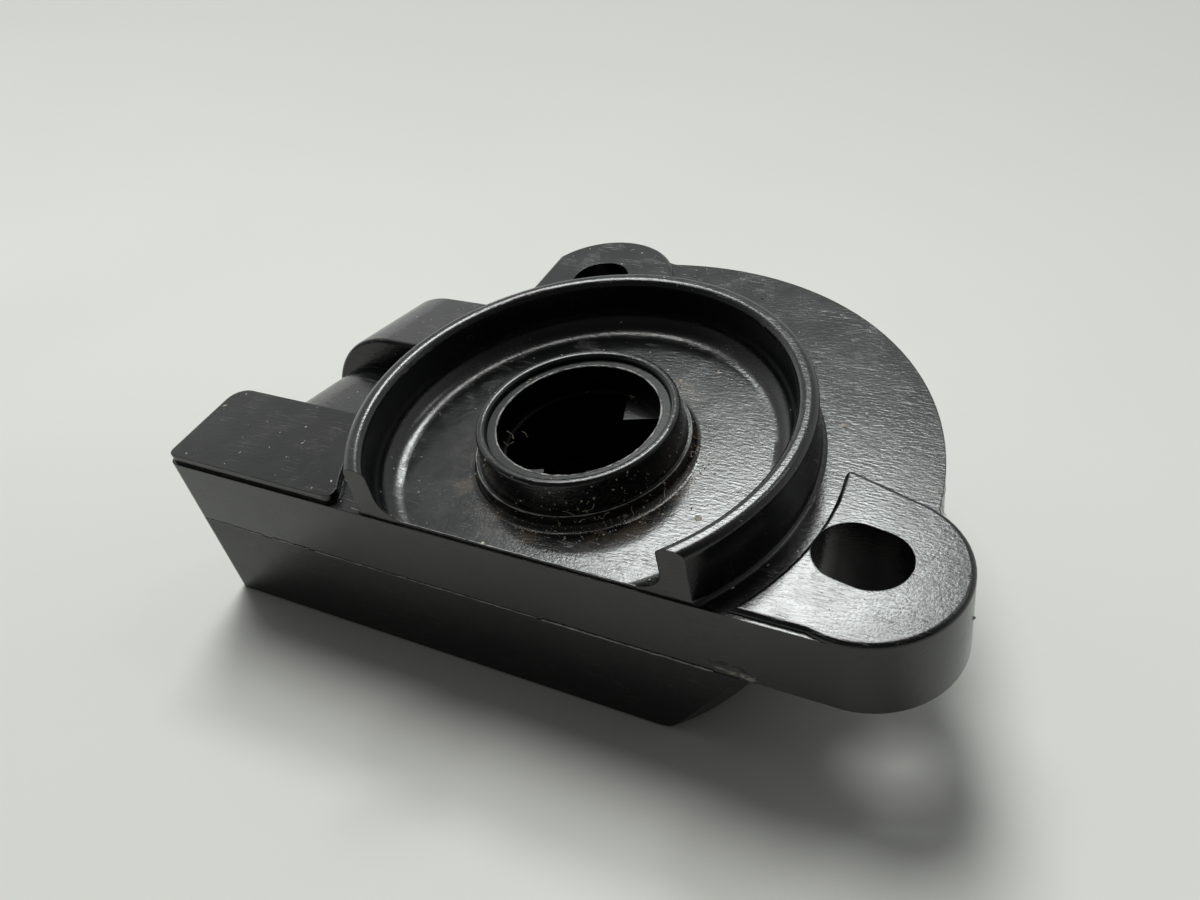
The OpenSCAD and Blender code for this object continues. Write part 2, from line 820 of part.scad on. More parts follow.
module return_spring() {
    // The fixed leg runs in to the coil's top turn, and the coil winds down from there
    steps = ceil(20 * coil_turns);
    radial = [cos(coil_start_deg), sin(coil_start_deg), 0];
    across = [-sin(coil_start_deg), cos(coil_start_deg), 0];
    height = [0, 0, 1];
    coil_pts = [for (k = [1:steps])
        let (t = coil_start_deg + 360 * coil_turns * k / steps)
        [coil_r * cos(t), coil_r * sin(t), coil_top_z - coil_pitch * coil_turns * k / steps]];
    coil_out = [for (k = [1:steps])
        let (t = coil_start_deg + 360 * coil_turns * k / steps) [cos(t), sin(t), 0]];
    color(steel) wire_run(
        concat([radial * fixed_leg_r + height * coil_top_z,
                radial * coil_r + height * coil_top_z], coil_pts),
        concat([across, across + radial], coil_out), [for (k = [0:steps + 1]) height], wire_d);
}

module spring_leg() {
    // The moving leg: it starts at the coil's lower end and drops into the rotor's flange
    steps = 4;
    height = [0, 0, 1];
    angles = [for (k = [0:steps]) leg_start_deg + leg_run_deg * k / steps];
    radials = [for (a = angles) [cos(a), sin(a), 0]];
    onward = [-sin(angles[steps]), cos(angles[steps]), 0];
    color(steel) wire_run(
        concat([for (v = radials) v * coil_r + height * coil_z],
               [radials[steps] * coil_r + height * (hub_bottom - leg_depth)]),
        concat(radials, [radials[steps]]),
        concat([for (k = [1:steps]) height], [height + onward, onward]), wire_d);
}

module leg_hole() {
    rotate(leg_start_deg + leg_run_deg) translate([coil_r, 0, hub_bottom - leg_depth - fit]) {
        cylinder(d = wire_d + 2 * fit, h = leg_depth + 1);
    }
}

// Element
module board_plan() {
    difference() {
        intersection() {
            circle(board_r);
            above_front(inner_front_y + board_clear);
        }
        beside_plug(-wall - board_clear);
    }
    translate([inner_left_x + board_clear, inner_front_y + board_clear]) {
        square([-inner_left_x - board_clear, inner_back_y - inner_front_y - 2 * board_clear]);
    }
}

module element_board() {
    color(board_cream) translate([0, 0, board_z]) linear_extrude(board_t) difference() {
        board_plan();
        circle(cup_r + board_clear);
    }
}

module track(r) {
    span = 130;
    start = arm_deg - 15;
    color(carbon) translate([0, 0, board_top]) linear_extrude(track_t) intersection() {
        difference() {
            circle(r + track_w / 2);
            circle(r - track_w / 2);
        }
        polygon([[0, 0], polar(beyond, start), polar(beyond, start + span / 2),
                 polar(beyond, start + span)]);
    }
}

module resistive_track() { track(track_outer_r); }
module collector_track() { track(track_inner_r); }

module contact_pad(i) {
    color(silver_ink) translate([blade_x[i] - pad_w / 2, drop_y - pad_len / 2, board_top]) {
        cube([pad_w, pad_len, track_t]);
    }
}

module terminal(i) {
    // A bent strip: the blade runs through the neck into the box, then drops to a foot over the board
    half = blade_t / 2;
    rise = half / cos(plug_tilt_deg);
    slope = tan(plug_tilt_deg);
    bend_z = -plug_depth + (plug_y - drop_y) * slope;
    tip = bulkhead + blade_reach;
    function along(d, up) = [plug_y + d * cos(plug_tilt_deg) + up * sin(plug_tilt_deg),
                             -plug_depth - d * sin(plug_tilt_deg) + up * cos(plug_tilt_deg)];
    color(brass) translate([blade_x[i] - blade_w / 2, 0, 0]) rotate([90, 0, 90]) linear_extrude(blade_w) {
        polygon([[drop_y - foot_half, foot_z], [drop_y + foot_half, foot_z],
                 [drop_y + foot_half, foot_z + foot_t], [drop_y + half, foot_z + foot_t],
                 [drop_y + half, bend_z - rise - half * slope],
                 along(tip - blade_t, -half), along(tip, -half / 2),
                 along(tip, half / 2), along(tip - blade_t, half),
                 [drop_y - half, bend_z + rise + half * slope],
                 [drop_y - half, foot_z + foot_t], [drop_y - foot_half, foot_z + foot_t]]);
    }
}

module contact_spring(i) {
    // A bowed strip between the terminal's foot and the pad
    gap = foot_z - board_top - track_t;
    r = gap / 2;
    color(brass) translate([blade_x[i] - 0.6, drop_y, board_top + track_t + r]) rotate([90, 0, 90]) {
        linear_extrude(1.2) difference() {
            circle(r);
            circle(r - 0.15);
            translate([-r - 1, -0.3]) square([r + 1, 0.6]);
        }
    }
}

module thrust_spring() {
    color(steel) translate([0, 0, journal_end - 0.7]) rotate_extrude() {
        polygon([[thrust_in_r, 0], [thrust_out_r, thrust_rise], [thrust_out_r, thrust_rise + thrust_t],
                 [thrust_in_r, thrust_t]]);
    }
}

// Rotor
module lug_plan() {
    // A lug: the part of the bore beyond a right-angled edge that points at the axis
    intersection() {
        circle(socket_r + 0.2);
        translate([lug_edge_r, 0]) rotate(45) translate([0, -20]) square([20, 20]);
    }
}

module rotor_body() {
    difference() {
        translate([0, 0, hub_bottom]) cylinder(r = hub_r, h = hub_top - hub_bottom);
        translate([0, 0, -hub_bore_depth]) cylinder(r = socket_r, h = 20);
        translate([0, 0, mouth_z]) cylinder(r = hub_bore_r, h = 20);
    }
    for (s = [0, 180]) rotate(lug_deg + s) translate([0, 0, -hub_bore_depth - eps]) {
        linear_extrude(hub_bore_depth + lug_top) lug_plan();
    }
    translate([0, 0, rotor_flange_z]) linear_extrude(rotor_flange_t) {
        circle(rotor_flange_r);
        rotate(arm_deg) translate([0, -arm_w / 2]) square([arm_r, arm_w]);
    }
    translate([0, 0, journal_end]) cylinder(r = journal_r, h = rotor_flange_z - journal_end + eps);
}

module rotor() {
    color(black_plastic) difference() {
        rotor_body();
        leg_hole();
    }
}

module wiper_plate() {
    inset = 0.4;
    color(steel) rotate(arm_deg) translate([hub_r, -arm_w / 2 + inset, rotor_flange_z - plate_t]) {
        cube([arm_r - hub_r - inset, arm_w - 2 * inset, plate_t]);
    }
}

module wiper(r) {
    // Three spring fingers on one strip, sloping from the plate down to the track
    top = rotor_flange_z - plate_t;
    tip = track_top + wiper_clear;
    back = finger_back;
    run = finger_run;
    pitch = finger_pitch;
    color(brass) rotate(arm_deg) {
        for (k = [-1:1]) translate([r + k * pitch - finger_w / 2, 0, 0]) {
            rotate([90, 0, 90]) linear_extrude(finger_w) {
                polygon([[back, top], [back, top - finger_t], [back - run, tip],
                         [back - run - finger_t, tip], [back - run - finger_t, tip + finger_t],
                         [back - 1, top]]);
            }
        }
        translate([r - pitch - finger_w / 2, back - root_w, top - finger_t]) {
            cube([2 * pitch + finger_w, root_w, finger_t]);
        }
    }
}

module wiper_resistive() { wiper(track_outer_r - 0.1); }
module wiper_collector() { wiper(track_inner_r); }

housing();
back_cover();
cover_seal();
shaft_seal();
seal_keeper();
return_spring();
element_board();
resistive_track();
collector_track();
terminal(0);  // terminal_1
terminal(1);  // terminal_2
terminal(2);  // terminal_3
contact_pad(0);  // contact_pad_1
contact_pad(1);  // contact_pad_2
contact_pad(2);  // contact_pad_3
contact_spring(0);  // contact_spring_1
contact_spring(1);  // contact_spring_2
contact_spring(2);  // contact_spring_3
thrust_spring();
rotor();
spring_leg();
wiper_plate();
wiper_resistive();
wiper_collector();
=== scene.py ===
"""Dresses the throttle position sensor: black moulded plastic with its grain, wear, flash and dust,
the finishes of the pieces inside, and a pale table under soft light."""
import math
import random

import bpy
from mathutils import Matrix, Vector


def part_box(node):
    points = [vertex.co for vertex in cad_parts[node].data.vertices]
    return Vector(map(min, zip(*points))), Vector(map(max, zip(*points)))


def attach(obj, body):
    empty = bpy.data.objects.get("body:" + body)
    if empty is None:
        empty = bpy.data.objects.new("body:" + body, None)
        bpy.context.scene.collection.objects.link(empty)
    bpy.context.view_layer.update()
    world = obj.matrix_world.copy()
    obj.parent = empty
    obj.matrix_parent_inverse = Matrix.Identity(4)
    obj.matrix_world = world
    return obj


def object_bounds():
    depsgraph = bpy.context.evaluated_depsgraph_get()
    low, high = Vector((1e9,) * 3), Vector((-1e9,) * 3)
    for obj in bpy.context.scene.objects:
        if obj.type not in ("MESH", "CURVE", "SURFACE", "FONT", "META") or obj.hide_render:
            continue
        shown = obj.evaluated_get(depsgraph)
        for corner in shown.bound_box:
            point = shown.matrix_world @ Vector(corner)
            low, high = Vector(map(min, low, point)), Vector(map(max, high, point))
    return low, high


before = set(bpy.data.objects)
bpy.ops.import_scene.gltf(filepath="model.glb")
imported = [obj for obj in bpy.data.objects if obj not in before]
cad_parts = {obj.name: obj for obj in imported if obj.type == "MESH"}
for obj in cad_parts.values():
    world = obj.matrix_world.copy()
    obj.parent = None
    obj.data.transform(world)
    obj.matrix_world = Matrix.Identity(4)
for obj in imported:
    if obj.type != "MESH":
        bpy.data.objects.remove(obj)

CAD_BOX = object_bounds()

bl_info = {
    "name": "Throttle Position Sensor",
    "version": (1, 0, 0),
    "blender": (4, 5, 0),
    "location": "View3D > Sidebar > Sensor",
    "description": "Finishes a throttle position sensor and sets it on a table",
    "category": "Object",
}

MM = 0.001
TABLE_Z = CAD_BOX[0][2]

# Places on the sensor, from the rotor's axis and the mounting pads
FRONT_Y = -11.85 * MM      # flat front wall
JOINT_Z = -7.2 * MM        # joint between the housing and the cover, on the front wall
ABOVE_Z = 12 * MM          # clear of the whole top, where looks down on it start
HUB_MOUTH = 6.58 * MM      # radius of the hub's mouth, under its burr
COLLAR_LINE_Z = 1.1 * MM   # height of the mould line round the collar
COLLAR_LINE = 8.66 * MM    # radius of that line
COLLAR_SIDE = 8.0 * MM     # the collar's sloping side lies between this radius
COLLAR_FOOT = 8.75 * MM    # and this one
RIM = 27.5 * MM            # radius of the fan's round rim


# Settings

class SensorSizes(bpy.types.PropertyGroup):
    """Sizes of the small pieces that moulding, wear and dust leave on the sensor."""
    flash_height: bpy.props.FloatProperty(
        name="Flash height", description="Height of the thin flash along the joint", default=0.14 * MM,
        min=0, unit="LENGTH", precision=5)
    flash_proud: bpy.props.FloatProperty(
        name="Flash proud", description="How far the flash stands out of the wall", default=0.055 * MM,
        min=0, unit="LENGTH", precision=5)
    burr: bpy.props.FloatProperty(
        name="Hub burr", description="Radius of the ragged burr on the hub's mouth", default=0.095 * MM,
        min=0, unit="LENGTH", precision=5)
    scar_length: bpy.props.FloatProperty(
        name="Scar length", description="Length of the scuffed scar on the front wall", default=4.4 * MM,
        min=0, unit="LENGTH", precision=5)
    scar_height: bpy.props.FloatProperty(
        name="Scar height", description="Height of the scuffed scar on the front wall", default=1.3 * MM,
        min=0, unit="LENGTH", precision=5)
    grain: bpy.props.FloatProperty(
        name="Dust grain", description="Usual width of a grain of dust", default=0.16 * MM,
        min=0, unit="LENGTH", precision=5)
    lint: bpy.props.FloatProperty(
        name="Lint thickness", description="Radius of a fibre of lint", default=0.016 * MM,
        min=0, unit="LENGTH", precision=6)


class SensorFinish(bpy.types.PropertyGroup):
    """Colours of the sensor's materials."""
    plastic: bpy.props.FloatVectorProperty(
        name="Plastic", description="Black of the moulded housing", subtype="COLOR", size=3,
        default=(0.0018, 0.0024, 0.0027), min=0, max=1)
    worn: bpy.props.FloatVectorProperty(
        name="Worn plastic", description="Grey of rubbed edges", subtype="COLOR", size=3,
        default=(0.085, 0.083, 0.078), min=0, max=1)
    dust: bpy.props.FloatVectorProperty(
        name="Dust", description="Pale dust that lies on the plastic", subtype="COLOR", size=3,
        default=(0.60, 0.55, 0.46), min=0, max=1)
    grime: bpy.props.FloatVectorProperty(
        name="Grime", description="Brown grime at the foot of the collar", subtype="COLOR", size=3,
        default=(0.22, 0.15, 0.08), min=0, max=1)
    brass: bpy.props.FloatVectorProperty(
        name="Brass", description="Blades, contacts and wipers", subtype="COLOR", size=3,
        default=(0.70, 0.53, 0.25), min=0, max=1)
    steel: bpy.props.FloatVectorProperty(
        name="Steel", description="Springs and washers", subtype="COLOR", size=3,
        default=(0.56, 0.57, 0.58), min=0, max=1)
    board: bpy.props.FloatVectorProperty(
        name="Board", description="Element board", subtype="COLOR", size=3,
        default=(0.66, 0.60, 0.45), min=0, max=1)


class SensorStage(bpy.types.PropertyGroup):
    """The table, the light and the camera."""
    table: bpy.props.FloatVectorProperty(
        name="Table", description="Colour of the table", subtype="COLOR", size=3,
        default=(0.665, 0.675, 0.645), min=0, max=1)
    key: bpy.props.FloatProperty(
        name="Key light", description="Power of the soft light behind the sensor", default=3.5,
        min=0, unit="POWER")
    panel: bpy.props.FloatProperty(
        name="Panel light", description="Power of the soft panel above the sensor", default=5.6,
        min=0, unit="POWER")
    second: bpy.props.FloatProperty(
        name="Second light", description="Power of the small light at the back right", default=0.35,
        min=0, unit="POWER")
    room: bpy.props.FloatProperty(
        name="Room light", description="Brightness of the room behind the sensor", default=0.7, min=0)
    lens: bpy.props.FloatProperty(
        name="Lens", description="Focal length on a 36 mm sensor", default=32.21, min=1)


# Node helpers

def group(name, inputs, outputs):
    """A new shader node group with its sockets; returns the tree, its input node and its output node."""
    tree = bpy.data.node_groups.new(name, "ShaderNodeTree")
    for label, kind, value in inputs:
        socket = tree.interface.new_socket(name=label, in_out="INPUT", socket_type=kind)
        if value is not None:
            socket.default_value = value
    for label, kind in outputs:
        tree.interface.new_socket(name=label, in_out="OUTPUT", socket_type=kind)
    return tree, tree.nodes.new("NodeGroupInput"), tree.nodes.new("NodeGroupOutput")


def add(tree, kind, settings=None, **links):
    """A node with its settings; each link names an input, as i0 or by its label, and gives it a socket
    or a plain value."""
    node = tree.nodes.new(kind)
    for key, value in (settings or {}).items():
        setattr(node, key, value)
    for key, value in links.items():
        numbered = key[0] == "i" and key[1:].isdigit()
        socket = node.inputs[int(key[1:]) if numbered else key.replace("_", " ")]
        if isinstance(value, bpy.types.NodeSocket):
            tree.links.new(value, socket)
        else:
            socket.default_value = value
    return node


def math_node(tree, operation, a, b=0.0):
    """The result of one sum on two values."""
    return add(tree, "ShaderNodeMath", {"operation": operation}, i0=a, i1=b).outputs[0]


def span(tree, value, low, high, to_low=0.0, to_high=1.0, smooth=True):
    """Maps value from low..high to to_low..to_high, clamped."""
    kind = "SMOOTHSTEP" if smooth else "LINEAR"
    return add(tree, "ShaderNodeMapRange", {"interpolation_type": kind},
               i0=value, i1=low, i2=high, i3=to_low, i4=to_high).outputs[0]


def mix_colour(tree, factor, a, b, blend="MIX"):
    """Blends two colours, each a socket or a plain colour."""
    node = tree.nodes.new("ShaderNodeMix")
    node.data_type = "RGBA"
    node.blend_type = blend
    for socket, value in ((node.inputs[0], factor), (node.inputs[6], a), (node.inputs[7], b)):
        if isinstance(value, bpy.types.NodeSocket):
            tree.links.new(value, socket)
        elif socket.type == "RGBA":
            socket.default_value = (*value[:3], 1.0)
        else:
            socket.default_value = value
    return node.outputs[2]


def grain_group():
    """Fine moulded grain with rubbed streaks; Height is about -1 to 1."""
    tree, inn, out = group(
        "moulded_grain",
        [("Vector", "NodeSocketVector", None), ("Scale", "NodeSocketFloat", 5000.0),
         ("Streaks", "NodeSocketFloat", 0.65)],
        [("Height", "NodeSocketFloat")])
    turned = add(tree, "ShaderNodeMapping", None, Vector=inn.outputs["Vector"],
                 Rotation=(0.0, 0.0, math.radians(-27)), Scale=(0.3, 1.0, 1.0)).outputs[0]
    fine = add(tree, "ShaderNodeTexNoise", None, Vector=inn.outputs["Vector"], Scale=inn.outputs["Scale"],
               Detail=1.0, Roughness=0.5).outputs[0]
    streak = add(tree, "ShaderNodeTexNoise", None, Vector=turned, Scale=inn.outputs["Scale"], Detail=1.5,
                 Roughness=0.5, Distortion=0.3).outputs[0]
    a = span(tree, fine, 0.3, 0.7, -1.0, 1.0, False)
    b = span(tree, streak, 0.3, 0.7, -1.0, 1.0, False)
    blended = add(tree, "ShaderNodeMix", None, i0=inn.outputs["Streaks"], i2=a, i3=b).outputs[0]
    tree.links.new(blended, out.inputs[0])
    return tree


def specks_group():
    """Sparse round specks: Mask is 1 on a speck, Tone tells one speck from another."""
    tree, inn, out = group(
        "dust_specks",
        [("Vector", "NodeSocketVector", None), ("Scale", "NodeSocketFloat", 900.0),
         ("Amount", "NodeSocketFloat", 0.1), ("Size", "NodeSocketFloat", 0.2)],
        [("Mask", "NodeSocketFloat"), ("Tone", "NodeSocketFloat")])
    wobble = add(tree, "ShaderNodeTexNoise", None, Vector=inn.outputs["Vector"], Scale=4200.0, Detail=2.0)
    shift = add(tree, "ShaderNodeVectorMath", {"operation": "MULTIPLY_ADD"}, i0=wobble.outputs[1],
                i1=(0.35 * MM,) * 3, i2=inn.outputs["Vector"]).outputs[0]
    cells = add(tree, "ShaderNodeTexVoronoi", None, Vector=shift, Scale=inn.outputs["Scale"])
    parts = add(tree, "ShaderNodeSeparateColor", None, Color=cells.outputs["Color"])
    chosen = math_node(tree, "LESS_THAN", parts.outputs[0], inn.outputs["Amount"])
    radius = math_node(tree, "MULTIPLY", inn.outputs["Size"], math_node(tree, "ADD", parts.outputs[1], 0.35))
    inside = span(tree, math_node(tree, "DIVIDE", cells.outputs["Distance"], radius), 1.0, 0.7)
    tree.links.new(math_node(tree, "MULTIPLY", chosen, inside), out.inputs[0])
    tree.links.new(parts.outputs[2], out.inputs[1])
    return tree


def scratches_group():
    """Thin straight scratches in three directions, in patches; Mask is 1 in a scratch."""
    tree, inn, out = group(
        "fine_scratches",
        [("Vector", "NodeSocketVector", None), ("Amount", "NodeSocketFloat", 0.5)],
        [("Mask", "NodeSocketFloat")])
    found = None
    for turn, scale in ((63, 260.0), (-20, 330.0), (112, 210.0)):
        turned = add(tree, "ShaderNodeMapping", None, Vector=inn.outputs["Vector"],
                     Rotation=(0.0, 0.0, math.radians(turn)), Scale=(0.055, 1.0, 1.0)).outputs[0]
        lines = add(tree, "ShaderNodeTexNoise", None, Vector=turned, Scale=scale * 12, Detail=1.0).outputs[0]
        thin = span(tree, math_node(tree, "ABSOLUTE", math_node(tree, "SUBTRACT", lines, 0.5)), 0.012, 0.002)
        patch = add(tree, "ShaderNodeTexNoise", None, Vector=inn.outputs["Vector"], Scale=scale,
                    Detail=1.0).outputs[0]
        line = math_node(tree, "MULTIPLY", thin, span(tree, patch, 0.56, 0.66))
        found = line if found is None else math_node(tree, "MAXIMUM", found, line)
    tree.links.new(math_node(tree, "MULTIPLY", found, inn.outputs["Amount"]), out.inputs[0])
    return tree


def film_group():
    """Cloudy handling film: Cloud runs from 0 to 1, Tint gives a faint warm or cool cast."""
    tree, inn, out = group(
        "handling_film",
        [("Vector", "NodeSocketVector", None), ("Scale", "NodeSocketFloat", 170.0)],
        [("Cloud", "NodeSocketFloat"), ("Tint", "NodeSocketColor")])
    big = add(tree, "ShaderNodeTexNoise", None, Vector=inn.outputs["Vector"], Scale=inn.outputs["Scale"],
              Detail=5.0, Roughness=0.62, Distortion=0.6)
    cast = add(tree, "ShaderNodeTexNoise", None, Vector=inn.outputs["Vector"],
               Scale=math_node(tree, "MULTIPLY", inn.outputs["Scale"], 0.6), Detail=2.0)
    tree.links.new(span(tree, big.outputs[0], 0.32, 0.68), out.inputs[0])
    tint = mix_colour(tree, span(tree, cast.outputs[0], 0.4, 0.6), (0.96, 1.0, 1.08), (1.07, 1.0, 0.9))
    tree.links.new(tint, out.inputs[1])
    return tree


def wear_group():
    """Edge wear where the rounded normal leaves the true one, broken up by a noise."""
    tree, inn, out = group(
        "edge_wear",
        [("Vector", "NodeSocketVector", None), ("Round Normal", "NodeSocketVector", None),
         ("True Normal", "NodeSocketVector", None), ("Amount", "NodeSocketFloat", 1.0)],
        [("Mask", "NodeSocketFloat")])
    dot = add(tree, "ShaderNodeVectorMath", {"operation": "DOT_PRODUCT"}, i0=inn.outputs["Round Normal"],
              i1=inn.outputs["True Normal"]).outputs["Value"]
    edge = span(tree, dot, 0.995, 0.90)
    rough = add(tree, "ShaderNodeTexNoise", None, Vector=inn.outputs["Vector"], Scale=1500.0, Detail=4.0,
                Roughness=0.7).outputs[0]
    broken = math_node(tree, "MULTIPLY", edge, span(tree, rough, 0.42, 0.62))
    tree.links.new(math_node(tree, "MULTIPLY", broken, inn.outputs["Amount"]), out.inputs[0])
    return tree


GROUPS = {}


def groups():
    """Builds the shared node groups once."""
    if not GROUPS:
        GROUPS.update(grain=grain_group(), specks=specks_group(), scratches=scratches_group(),
                      film=film_group(), wear=wear_group())
    return GROUPS


def use(tree, name, **links):
    """Places a shared group in a material."""
    return add(tree, "ShaderNodeGroup", {"node_tree": groups()[name]}, **links)


def new_material(name):
    """A material with its shader joined to its output; returns it, its tree, the shader and the place of
    the shaded point."""
    material = bpy.data.materials.new(name)
    material.use_nodes = True
    tree = material.node_tree
    tree.nodes.clear()
    shader = tree.nodes.new("ShaderNodeBsdfPrincipled")
    output = tree.nodes.new("ShaderNodeOutputMaterial")
    tree.links.new(shader.outputs[0], output.inputs[0])
    place = tree.nodes.new("ShaderNodeTexCoord").outputs["Object"]
    return material, tree, shader, place


def radius_and_height(tree, place):
    """Distance from the rotor's axis, and height, of the shaded point."""
    parts = add(tree, "ShaderNodeSeparateXYZ", None, Vector=place)
    flat = add(tree, "ShaderNodeCombineXYZ", None, X=parts.outputs[0], Y=parts.outputs[1], Z=0.0).outputs[0]
    radius = add(tree, "ShaderNodeVectorMath", {"operation": "LENGTH"}, i0=flat).outputs["Value"]
    return radius, parts.outputs[2]


def band(tree, value, low, high, soft):
    """1 between low and high, falling off over soft."""
    rise = span(tree, value, low - soft, low + soft)
    fall = span(tree, value, high - soft, high + soft, 1.0, 0.0)
    return math_node(tree, "MULTIPLY", rise, fall)


# Materials

def upright(tree, normal, radius, level):
    """Takes the draft out of the normal on the collar's outer side, whose shine shows it nearly upright."""
    side = math_node(tree, "MULTIPLY", band(tree, radius, COLLAR_SIDE, COLLAR_FOOT, 0.05 * MM),
                     band(tree, level, 1.25 * MM, 3.35 * MM, 0.12 * MM))
    keep = add(tree, "ShaderNodeCombineXYZ", None, X=1.0, Y=1.0,
               Z=math_node(tree, "SUBTRACT", 1.0, side)).outputs[0]
    flat = add(tree, "ShaderNodeVectorMath", {"operation": "MULTIPLY"}, i0=normal, i1=keep).outputs[0]
    return add(tree, "ShaderNodeVectorMath", {"operation": "NORMALIZE"}, i0=flat).outputs[0]


def plastic_material(name, colour, finish, gloss=0.21, dusty=1.0, shine=0.5):
    """Black moulded plastic: grain, handling film, scratches, rubbed edges and dust."""
    material, tree, shader, place = new_material(name)
    geometry = tree.nodes.new("ShaderNodeNewGeometry")
    rounded = add(tree, "ShaderNodeBevel", {"samples": 4}, Radius=0.12 * MM).outputs[0]
    radius, level = radius_and_height(tree, place)
    film = use(tree, "film", Vector=place, Scale=330.0)
    grains = use(tree, "grain", Vector=place)
    wear = use(tree, "wear", Vector=place, Round_Normal=rounded,
               True_Normal=geometry.outputs["Normal"], Amount=0.8)
    scratches = use(tree, "scratches", Vector=place, Amount=1.0)
    specks = use(tree, "specks", Vector=place, Scale=760.0, Amount=0.05 * dusty, Size=0.17)
    fine = use(tree, "specks", Vector=place, Scale=2600.0, Amount=0.05 * dusty, Size=0.22)
    facing = add(tree, "ShaderNodeSeparateXYZ", None, Vector=geometry.outputs["Normal"]).outputs[2]
    up = span(tree, facing, 0.35, 0.9)
    near_collar = math_node(tree, "MULTIPLY", band(tree, radius, 8.9 * MM, 10.8 * MM, 0.5 * MM),
                            span(tree, level, 1.3 * MM, 0.6 * MM))
    # Dust settles on what faces up, and all round the collar's foot
    settled = math_node(tree, "MAXIMUM", specks.outputs[0], fine.outputs[0])
    on_top = math_node(tree, "MULTIPLY", settled, math_node(tree, "MAXIMUM", up, near_collar))
    # Colour: the film's cast, rubbed edges and scratches, then dust, and grime by the collar
    base = mix_colour(tree, 1.0, colour, film.outputs["Tint"], "MULTIPLY")
    base = mix_colour(tree, math_node(tree, "MULTIPLY", wear.outputs[0], 0.5), base, finish.worn)
    base = mix_colour(tree, math_node(tree, "MULTIPLY", scratches.outputs[0], 0.35), base, finish.worn)
    dust = mix_colour(tree, specks.outputs["Tone"], finish.dust, finish.grime)
    base = mix_colour(tree, math_node(tree, "MULTIPLY", on_top, 0.75), base, dust)
    smear = math_node(tree, "MULTIPLY", near_collar, span(tree, film.outputs["Cloud"], 0.45, 1.0))
    base = mix_colour(tree, math_node(tree, "MULTIPLY", smear, 0.13), base, finish.grime)
    tree.links.new(base, shader.inputs["Base Color"])
    # Shine: cloudy with the film, dull under dust, polished on rubbed edges
    rough = span(tree, film.outputs["Cloud"], 0.0, 1.0, gloss - 0.018, gloss + 0.022, False)
    rough = math_node(tree, "ADD", rough, math_node(tree, "MULTIPLY", on_top, 0.3))
    rough = math_node(tree, "ADD", rough, math_node(tree, "MULTIPLY", wear.outputs[0], -0.06))
    tree.links.new(rough, shader.inputs["Roughness"])
    shader.inputs["IOR"].default_value = 1.55
    shader.inputs["Specular IOR Level"].default_value = shine
    # Relief: grain, with scratches cut into it and dust standing on it
    cut = math_node(tree, "MULTIPLY", scratches.outputs[0], 1.2)
    relief = math_node(tree, "SUBTRACT", grains.outputs[0], cut)
    relief = math_node(tree, "ADD", relief, math_node(tree, "MULTIPLY", on_top, 6.0))
    bump = add(tree, "ShaderNodeBump", None, Height=relief, Normal=upright(tree, rounded, radius, level),
               Strength=0.9, Distance=0.0042 * MM)
    tree.links.new(bump.outputs[0], shader.inputs["Normal"])
    return material


def metal_material(name, colour, gloss, streak):
    """Drawn or stamped metal with fine draw lines and dull patches."""
    material, tree, shader, place = new_material(name)
    film = use(tree, "film", Vector=place, Scale=420.0)
    grains = use(tree, "grain", Vector=place, Scale=5200.0, Streaks=streak)
    darker = tuple(0.72 * c for c in colour)
    tree.links.new(mix_colour(tree, film.outputs["Cloud"], colour, darker), shader.inputs["Base Color"])
    tree.links.new(span(tree, film.outputs["Cloud"], 0.0, 1.0, gloss, gloss + 0.15, False),
                   shader.inputs["Roughness"])
    shader.inputs["Metallic"].default_value = 1.0
    bump = add(tree, "ShaderNodeBump", None, Height=grains.outputs[0], Strength=0.4, Distance=0.003 * MM)
    tree.links.new(bump.outputs[0], shader.inputs["Normal"])
    return material


def dull_material(name, colour, second, gloss, scale, depth):
    """A matt finish, such as rubber, board, carbon ink or dust, mottled between two colours."""
    material, tree, shader, place = new_material(name)
    film = use(tree, "film", Vector=place, Scale=scale)
    grains = use(tree, "grain", Vector=place, Scale=scale * 8, Streaks=0.2)
    tree.links.new(mix_colour(tree, film.outputs["Cloud"], colour, second), shader.inputs["Base Color"])
    tree.links.new(span(tree, film.outputs["Cloud"], 0.0, 1.0, gloss, min(1.0, gloss + 0.1), False),
                   shader.inputs["Roughness"])
    bump = add(tree, "ShaderNodeBump", None, Height=grains.outputs[0], Strength=0.5, Distance=depth)
    tree.links.new(bump.outputs[0], shader.inputs["Normal"])
    return material


def flash_glint_material():
    """The grey of thin mould flash, made once; partly painted glint, lighter than the plastic to stand for
    the shine its thin edges catch.
    """
    return bpy.data.materials.get("flash_grey_painted_glint") or dull_material(
        "flash_grey_painted_glint", (0.09, 0.09, 0.088), (0.30, 0.295, 0.28), 0.33, 900.0, 0.02 * MM)


def dust_material(finish):
    """The tan of dust and lint, made once."""
    return bpy.data.materials.get("dust_tan") or dull_material(
        "dust_tan", finish.dust, finish.grime, 0.85, 1400.0, 0.02 * MM)


def dress(names, material):
    """Gives CAD nodes their material."""
    for name in names:
        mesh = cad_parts[name].data
        mesh.materials.clear()
        mesh.materials.append(material)


# Modelling helpers

def select_only(piece):
    """Selects one piece and nothing else."""
    bpy.ops.object.select_all(action="DESELECT")
    piece.select_set(True)
    bpy.context.view_layer.objects.active = piece


def start(primitive, name, **settings):
    """Adds a primitive with everything else deselected."""
    bpy.ops.object.select_all(action="DESELECT")
    primitive(**settings)
    piece = bpy.context.active_object
    piece.name = name
    piece.data.name = name
    return piece


def apply_modifier(piece, kind, name, **settings):
    """Adds a modifier with its settings and applies it."""
    select_only(piece)
    modifier = piece.modifiers.new(name, kind)
    for key, value in settings.items():
        setattr(modifier, key, value)
    bpy.ops.object.modifier_apply(modifier=modifier.name)


